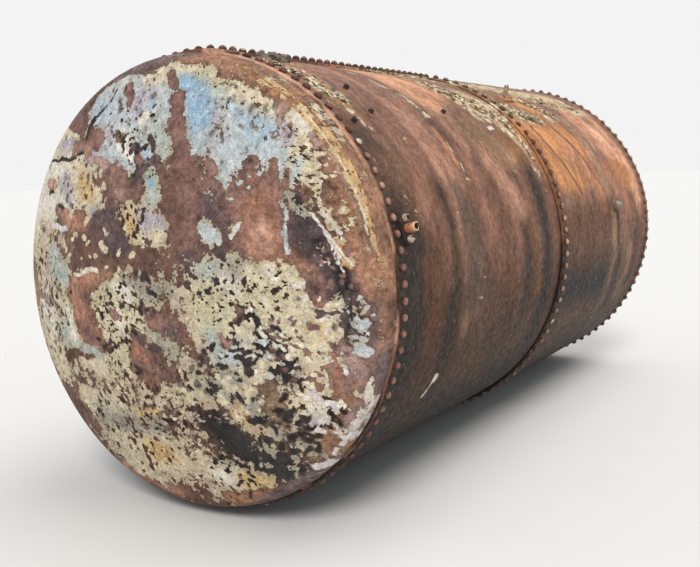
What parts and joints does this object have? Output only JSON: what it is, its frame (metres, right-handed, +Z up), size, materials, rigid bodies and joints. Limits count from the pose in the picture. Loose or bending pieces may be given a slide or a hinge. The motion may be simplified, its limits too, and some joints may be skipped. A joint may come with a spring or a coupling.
{
  "type": "horizontal pressure tank",
  "caption": "Old riveted steel pressure tank lying on its side, with dished ends, flaking pale paint on the near end and rusted plates.",
  "frame": {"origin": "ground point under the middle of the tank's length", "axes": "+X along the tank's axis from the painted near head to the far head, +Y across, away from the side outlet, +Z up"},
  "size_m": [3.3664, 1.5758, 1.5662],
  "materials": {
    "flaking_paint": "flaking pale paint over rust",
    "rusted_shell": "rusted, stained and scaled",
    "rusted_rivets": "rusted",
    "dark_iron": "rusted dark",
    "orange_rust": "fresh orange rust",
    "pale_iron": "pale dirt over rust"
  },
  "bodies": {
    "root": {"near_course": "rusted_shell", "far_course": "rusted_shell", "near_head": "flaking_paint", "far_head": "flaking_paint", "near_head_rivets": "rusted_rivets", "mid_seam_rivets": "rusted_rivets", "far_head_rivets": "rusted_rivets", "near_straight_seam_rivets": "rusted_rivets", "far_straight_seam_rivets": "rusted_rivets", "outlet_flange": "dark_iron", "outlet_stub": "orange_rust", "outlet_nuts": "dark_iron", "top_pad": "dark_iron", "top_pad_rivets": "dark_iron", "lug_foot": "orange_rust", "top_lug": "pale_iron", "lug_foot_rivets": "rusted_rivets", "far_boss": "pale_iron", "far_plug": "pale_iron", "stub_bolts": "dark_iron"}
  },
  "joints": []
}
